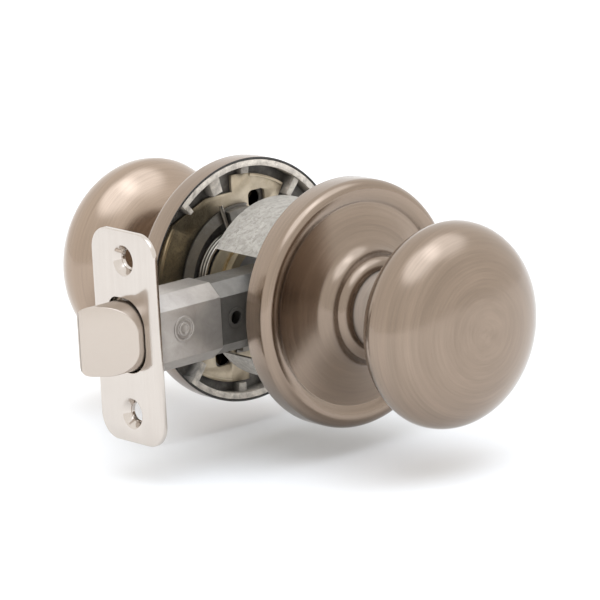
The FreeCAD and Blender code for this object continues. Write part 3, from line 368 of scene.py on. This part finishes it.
def galvanised(name):
    """Spangled zinc: crystal patches of slightly different tone and direction."""
    g = G(name)
    warp = g.noise(g.obj, 700.0, 3.0, 0.6)
    v2 = g.vmath("ADD", g.obj, g.vec(g.math("MULTIPLY", warp, 0.0022), g.math("MULTIPLY", warp, -0.0018),
                                     g.math("MULTIPLY", warp, 0.0015)))
    cells = g.voronoi(v2, 1000.0)
    cells2 = g.voronoi(v2, 2300.0)
    sep = g.t.nodes.new("ShaderNodeSeparateXYZ")
    g.put(sep.inputs[0], cells["Color"])
    sep2 = g.t.nodes.new("ShaderNodeSeparateXYZ")
    g.put(sep2.inputs[0], cells2["Color"])
    tone = g.math("ADD", g.math("MULTIPLY", sep.outputs[0], 0.55), g.math("MULTIPLY", sep2.outputs[0], 0.45))
    cloud = g.noise(g.obj, 160.0, 4.0, 0.65)
    base = g.mix(g.remap(tone, 0.1, 0.9, 0.0, 1.0), (0.28, 0.26, 0.232), (0.46, 0.435, 0.395))
    base = g.mix(g.remap(cloud, 0.45, 0.75, 0.0, 0.5), base, (0.32, 0.298, 0.262))
    # painted shade: ambient occlusion darkens the colour in corners and between parts
    base = g.scale_color(base, g.remap(g.ao(0.010), 0.3, 0.9, 0.55, 1.0))
    g.set(Base_Color=base, Metallic=0.5)
    g.set(Roughness=g.remap(sep.outputs[1], 0.0, 1.0, 0.38, 0.55))
    g.set(Normal=g.bump(tone, 0.22, 0.00008))
    return g.m


M = {
    "knob": satin_nickel("satin_nickel_knob", necks_painted_light=((YO, -1), (YI, 1))),
    # painted light: the inside knob wears the same nickel with its colour made 1.28 times brighter
    "knob_far_brightened": satin_nickel("satin_nickel_inside_knob_brightened", necks_painted_light=((YO, -1), (YI, 1)), painted_light_gain=1.28),
    "rose_out": satin_nickel("satin_nickel_outside_rose", YO, -1, 0.45),
    "rose_in": satin_nickel("satin_nickel_inside_rose", YI, 1, 0.45),
    "liner_out": cast("cast_zinc_outside", (0.37, 0.335, 0.297), (0.83, 0.765, 0.675), metallic=0.3, scale=2.0, pits=0.8, recess_shade=(YO, -1, 0.3, 4.9, 0.30)),
    "liner_in": cast("cast_zinc_inside", (0.37, 0.335, 0.297), (0.83, 0.765, 0.675), metallic=0.3, scale=2.0, pits=0.8, recess_shade=(YI, 1, 0.3, 4.9, 0.30)),
    "cage_out": cast("cage_zinc_outside", (0.245, 0.225, 0.20), (0.35, 0.325, 0.29), rough=0.42, recess_shade=(YO, -1, 3.0, 3.9, 0.10)),
    "cage_in": cast("cage_zinc_inside", (0.245, 0.225, 0.20), (0.35, 0.325, 0.29), rough=0.42, recess_shade=(YI, 1, 3.0, 3.9, 0.10)),
    "plate_out": chromate("yellow_zinc_outside", YO, -1),
    "plate_in": chromate("yellow_zinc_inside", YI, 1),
    "hub": cast("olive_zinc", (0.49, 0.41, 0.28), (0.68, 0.575, 0.405), rough=0.36, metallic=0.75, pits=0.15),
    "brass": brushed("brass_ring", (0.50, 0.38, 0.22), (0.64, 0.51, 0.33), "Y", (0.28, 0.4)),
    "steel": brushed("zinc_steel", (0.40, 0.385, 0.37), (0.52, 0.50, 0.48), "Y", (0.28, 0.42)),
    "spring": brushed("spring_wire", (0.36, 0.32, 0.27), (0.50, 0.455, 0.39), "Y", (0.26, 0.38)),
    "nylon": cast("nylon", (0.66, 0.63, 0.58), (0.72, 0.69, 0.64), rough=0.5, metallic=0.0, pits=0.05),
    "galv": galvanised("galvanised_steel"),
    "face": brushed("bright_nickel", (0.548, 0.493, 0.445), (0.603, 0.551, 0.502), "Z", (0.11, 0.17), grain=5200.0, blotch=0.10, bump=0.06),
    "back": brushed("dull_brass", (0.30, 0.245, 0.175), (0.42, 0.355, 0.27), "Z", (0.32, 0.46)),
    "case": cast("case_zinc", (0.305, 0.275, 0.25), (0.40, 0.365, 0.33), rough=0.36, metallic=0.6, pits=0.16),
    "rear": cast("rear_case_zinc", (0.15, 0.138, 0.122), (0.21, 0.195, 0.175), rough=0.4, metallic=0.7, pits=0.2),
    "bolt": brushed("bolt_nickel", (0.500, 0.438, 0.383), (0.514, 0.451, 0.396), "Y", (0.28, 0.28), grain=2600.0, blotch=0.0, bump=0.0),
}

MATERIAL_OF = {
    "rose": "rose", "rose_liner": "liner", "mounting_plate": "plate", "spring_cage": "cage",
    "return_spring": "spring", "knob": "knob", "knob_shank": "steel", "hub_sleeve": "hub",
    "retaining_ring": "brass", "bearing_washer": "nylon",
}
SOLO = {
    "bore_sleeve": "galv", "screw_posts": "steel", "spindle": "steel", "latch_faceplate": "face",
    "latch_backplate": "back", "latch_front_case": "case", "latch_rear_case": "rear",
    "latch_bolt": "bolt", "latch_cam": "steel", "draw_bar": "steel", "bolt_spring": "spring",
}


def material_for(node):
    if node in SOLO:
        return M[SOLO[node]]
    side, piece = node.split("_", 1)
    key = MATERIAL_OF[piece]
    return M[key] if key in M else M[key + ("_out" if side == "outside" else "_in")]


def paint(o, m):
    o.data.materials.clear()
    o.data.materials.append(m)


for node, o in N.items():
    paint(o, material_for(node))


# -------------------------------------------------------------- mesh helpers
def link(name, mesh, body, node, mat):
    o = bpy.data.objects.new(name, mesh)
    scene.collection.objects.link(o)
    paint(o, mat)
    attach(o, body)
    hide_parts(node)
    for p in mesh.polygons:
        p.use_smooth = True
    return o


def body_of(node):
    return N[node]["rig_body"]


def lathe(name, prof, node, mat, seg=240, sharp=35.0):
    """Closed outline (r, y) in mm turned about Y; points on the axis are shared."""
    bm = bmesh.new()
    rows = []
    for r, y in prof:
        if r < 1e-6:
            rows.append([bm.verts.new((0, y * MM, 0))])
        else:
            rows.append([bm.verts.new((r * MM * math.cos(2 * math.pi * k / seg), y * MM,
                                       r * MM * math.sin(2 * math.pi * k / seg))) for k in range(seg)])
    n = len(rows)
    for i in range(n):
        a, b = rows[i], rows[(i + 1) % n]
        if len(a) == 1 and len(b) == 1:
            continue
        for k in range(seg):
            k2 = (k + 1) % seg
            if len(a) == 1:
                bm.faces.new((a[0], b[k], b[k2]))
            elif len(b) == 1:
                bm.faces.new((a[k], b[0], a[k2]))
            else:
                bm.faces.new((a[k], b[k], b[k2], a[k2]))
    bmesh.ops.recalc_face_normals(bm, faces=bm.faces)
    me = bpy.data.meshes.new(name)
    bm.to_mesh(me)
    bm.free()
    o = link(name, me, body_of(node), node, mat)
    me.set_sharp_from_angle(angle=math.radians(sharp))
    return o


def arc(p, q, rad, side, n):
    """Points after p up to q on an arc that bulges left (side +1) of p to q."""
    dx, dy = q[0] - p[0], q[1] - p[1]
    L = math.hypot(dx, dy)
    h = math.sqrt(max(rad * rad - L * L / 4, 0.0))
    nx, ny = -dy / L, dx / L
    cx, cy = (p[0] + q[0]) / 2 - nx * h * side, (p[1] + q[1]) / 2 - ny * h * side
    a0 = math.atan2(p[1] - cy, p[0] - cx)
    a1 = math.atan2(q[1] - cy, q[0] - cx)
    d = (a1 - a0 + math.pi) % (2 * math.pi) - math.pi
    return [(cx + rad * math.cos(a0 + d * i / n), cy + rad * math.sin(a0 + d * i / n))
            for i in range(1, n + 1)]


def soften(pts, rad=0.25, steps=3, closed=True, keep=()):
    """Cuts each sharp corner of an outline with a small round."""
    out = []
    n = len(pts)
    for i, p in enumerate(pts):
        if i in keep:
            out.append(p)
            continue
        a, b = pts[i - 1], pts[(i + 1) % n]
        v1 = (a[0] - p[0], a[1] - p[1])
        v2 = (b[0] - p[0], b[1] - p[1])
        l1, l2 = math.hypot(*v1), math.hypot(*v2)
        if l1 < 1e-9 or l2 < 1e-9:
            continue
        cosang = (v1[0] * v2[0] + v1[1] * v2[1]) / (l1 * l2)
        if cosang < -0.94:
            out.append(p)
            continue
        r = min(rad, l1 * 0.45, l2 * 0.45)
        q1 = (p[0] + v1[0] / l1 * r, p[1] + v1[1] / l1 * r)
        q2 = (p[0] + v2[0] / l2 * r, p[1] + v2[1] / l2 * r)
        for k in range(steps + 1):
            f = k / steps
            out.append(((1 - f) ** 2 * q1[0] + 2 * f * (1 - f) * p[0] + f * f * q2[0],
                        (1 - f) ** 2 * q1[1] + 2 * f * (1 - f) * p[1] + f * f * q2[1]))
    return out


def knob_profile(t_out, side_y, sgn):
    """(r, y) of the knob shell's closed outline, crown first."""
    def curve(rad, tip, h_back, neck, nf, nb, flare_u, fr):
        pts = []
        for i in range(49):
            a = math.radians(90 - 90 * i / 48)
            pts.append((rad * max(math.cos(a), 0) ** (2 / nf), 42 + (tip - 42) * max(math.sin(a), 0) ** (2 / nf)))
        for i in range(1, 60):
            a = math.radians(90 * i / 59)
            r = rad * max(math.cos(a), 0) ** (2 / nb)
            if r < neck + 3.6:
                break
            pts.append((r, 42 - h_back * max(math.sin(a), 0) ** (2 / nb)))
        pts += arc(pts[-1], (neck, flare_u), fr, -1, 14)
        return pts
    outer = curve(27.45, 57.0, 15.4, 10.9, 2.2, 1.72, 24.42, 5.95)
    inner = curve(26.55, 56.1, 14.4, 10.0, 2.2, 1.72, 24.42, 6.95)
    ring = outer + [(10.9, 14.75), (10.65, 14.5), (10.1, 14.5), (10.0, 14.6)] + inner[::-1]
    return [(max(r, 0.0), side_y + sgn * u) for r, u in ring]


for side, y0, sg in (("outside", YO, -1), ("inside", YI, 1)):
    pr = knob_profile(0, y0, sg)
    lathe(side + "_knob_shell", pr, side + "_knob", M["knob" if side == "outside" else "knob_far_brightened"], 256)


def rose_profile(y0, sg):
    o = -1
    pts = [(33.4, 0.0), (33.4, 5.2)]
    pts += arc(pts[-1], (30.9, 7.95), 2.85, -1, 14)
    pts += arc(pts[-1], (27.9, 7.25), 6.8, -1, 12)
    pts += [(27.3, 6.78)]
    pts += arc(pts[-1], (17.3, 9.75), 35.3, 1, 30)
    pts += arc(pts[-1], (14.35, 13.6), 5.25, 1, 26)
    pts += [(14.3, 14.2)]
    pts += arc(pts[-1], (11.1, 17.25), 3.2, -1, 20)
    pts += [(11.1, 16.65)]
    pts += arc(pts[-1], (13.7, 14.1), 2.6, 1, 10)
    pts += [(13.76, 13.49)]
    pts += arc(pts[-1], (17.05, 9.21), 5.85, -1, 16)
    pts += arc(pts[-1], (27.22, 6.19), 35.9, -1, 20)
    pts += [(28.1, 6.65)]
    pts += arc(pts[-1], (30.9, 7.35), 6.2, 1, 8)
    pts += arc(pts[-1], (32.85, 5.2), 2.25, 1, 8)
    pts += [(32.85, 0.0)]
    return [(r, y0 + sg * u) for r, u in soften(pts, 0.22)]


lathe("outside_rose_cover", rose_profile(YO, -1), "outside_rose", M["rose_out"], 288)
lathe("inside_rose_cover", rose_profile(YI, 1), "inside_rose", M["rose_in"], 288)


def soft_edges(node, name, width=0.15, seg=2, angle=28.0, mat=None):
    """A copy of a CAD piece with its sharp edges rounded, standing for it."""
    src = N[node]
    me = src.data.copy()
    bm = bmesh.new()
    bm.from_mesh(me)
    bmesh.ops.remove_doubles(bm, verts=bm.verts, dist=1e-6)
    bmesh.ops.dissolve_limit(bm, angle_limit=math.radians(0.6), verts=bm.verts, edges=bm.edges,
                             delimit={"NORMAL"})
    bm.to_mesh(me)
    bm.free()
    me.name = name
    o = bpy.data.objects.new(name, me)
    scene.collection.objects.link(o)
    mod = o.modifiers.new("bevel", "BEVEL")
    mod.width = width * MM
    mod.segments = seg
    mod.limit_method = "ANGLE"
    mod.angle_limit = math.radians(angle)
    mod.harden_normals = False
    mod.use_clamp_overlap = True
    dg = bpy.context.evaluated_depsgraph_get()
    dg.update()
    ev = o.evaluated_get(dg)
    new = bpy.data.meshes.new_from_object(ev)
    o.modifiers.clear()
    o.data = new
    for p in new.polygons:
        p.use_smooth = True
    new.set_sharp_from_angle(angle=math.radians(40))
    paint(o, mat or material_for(node))
    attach(o, body_of(node))
    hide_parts(node)
    return o


soft_edges("latch_faceplate", "latch_faceplate_soft", 0.22, 3)
soft_edges("latch_backplate", "latch_backplate_soft", 0.14, 2)
soft_edges("latch_bolt", "latch_bolt_soft", 0.28, 3)
soft_edges("latch_front_case", "latch_front_case_soft", 0.12, 2)
soft_edges("inside_mounting_plate", "inside_mounting_plate_soft", 0.14, 2)
soft_edges("outside_mounting_plate", "outside_mounting_plate_soft", 0.14, 2)
soft_edges("inside_rose_liner", "inside_rose_liner_soft", 0.28, 2)
soft_edges("outside_rose_liner", "outside_rose_liner_soft", 0.28, 2)

# ---------------------------------------------------------------- stage
lo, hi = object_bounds()
floor_z = lo[2] - 0.007
me = bpy.data.meshes.new("floor")
bm = bmesh.new()
R = 6.0
seg = 96
ring = [bm.verts.new((R * math.cos(2 * math.pi * k / seg), R * math.sin(2 * math.pi * k / seg), floor_z))
        for k in range(seg)]
bm.faces.new(ring)
bm.to_mesh(me)
bm.free()
floor = bpy.data.objects.new("floor", me)
scene.collection.objects.link(floor)
g = G("floor_paper")
g.set(Base_Color=g.mix(g.noise(g.obj, 40.0, 3.0, 0.5), (0.85, 0.85, 0.85), (0.87, 0.87, 0.87)), Roughness=0.9)
g.p.inputs["Specular IOR Level"].default_value = 0.0
paint(floor, g.m)

world = bpy.data.worlds.new("studio")
scene.world = world
world.use_nodes = True
wt = world.node_tree
wt.nodes.clear()
wo = wt.nodes.new("ShaderNodeOutputWorld")
bg = wt.nodes.new("ShaderNodeBackground")
wt.links.new(bg.outputs[0], wo.inputs[0])
sky = wt.nodes.new("ShaderNodeTexCoord").outputs["Generated"]


def wmath(op, a, b=0.0, c=None):
    n = wt.nodes.new("ShaderNodeMath")
    n.operation = op
    for k, v in enumerate((a, b) if c is None else (a, b, c)):
        if isinstance(v, bpy.types.NodeSocket):
            wt.links.new(v, n.inputs[k])
        else:
            n.inputs[k].default_value = v
    return n.outputs[0]


def lobe(axis, c0, c1, lo_v, hi_v):
    """Smooth step of the cosine to an axis: lo_v outside c0, hi_v inside c1."""
    n = wt.nodes.new("ShaderNodeVectorMath")
    n.operation = "DOT_PRODUCT"
    wt.links.new(sky, n.inputs[0])
    n.inputs[1].default_value = Vector(axis).normalized()
    r = wt.nodes.new("ShaderNodeMapRange")
    r.interpolation_type = "SMOOTHSTEP"
    wt.links.new(n.outputs["Value"], r.inputs["Value"])
    for k, v in (("From Min", c0), ("From Max", c1), ("To Min", lo_v), ("To Max", hi_v)):
        r.inputs[k].default_value = v
    return r.outputs[0]


# an even pale room
level = lobe((0, 0, 1), 0.0, 0.9, 1.22, 1.26)
wt.links.new(level, bg.inputs[1])
# two soft boxes overhead, a touch cooler than the room
glow = wt.nodes.new("ShaderNodeBackground")
glow.inputs[0].default_value = (0.86, 0.98, 1.14, 1.0)
wt.links.new(wmath("ADD", lobe((-0.18, -0.34, 0.92), 0.87, 0.965, 0.0, 1.5),
                   lobe((0.32, -0.30, 0.90), 0.89, 0.97, 0.0, 1.2)), glow.inputs[1])
both = wt.nodes.new("ShaderNodeAddShader")
wt.links.new(bg.outputs[0], both.inputs[0])
wt.links.new(glow.outputs[0], both.inputs[1])
wt.links.new(both.outputs[0], wo.inputs[0])
bg.inputs[0].default_value = (1.0, 0.995, 0.985, 1.0)


def area(name, loc, size, power, color=(1, 1, 1), aim=(0, 0, 0), size_y=None):
    ld = bpy.data.lights.new(name, "AREA")
    ld.shape = "RECTANGLE"
    ld.size = size
    ld.size_y = size_y or size
    ld.energy = power
    ld.color = color
    o = bpy.data.objects.new(name, ld)
    scene.collection.objects.link(o)
    d = Vector(aim) - Vector(loc)
    o.rotation_euler = d.to_track_quat("-Z", "Y").to_euler()
    o.location = loc
    return o


def from_cam(r, u, b):
    """A place given as right, up and towards the camera, in metres."""
    return right * r + Vector((0, 0, 1)) * u + Vector((math.sin(AZ), -math.cos(AZ), 0)) * b


fill = area("fill_softbox", (0.0, -0.2, 2.4), 2.6, 3.0, (1.0, 0.99, 0.975))
fill.visible_glossy = False
for k, at in enumerate(((-0.75, -0.55), (0.55, -0.95))):
    low = area("low_softbox_%d" % k, (at[0], at[1], 0.22), 0.9, 1.3, aim=(0, 0, -0.03), size_y=0.5)
    low.visible_glossy = False
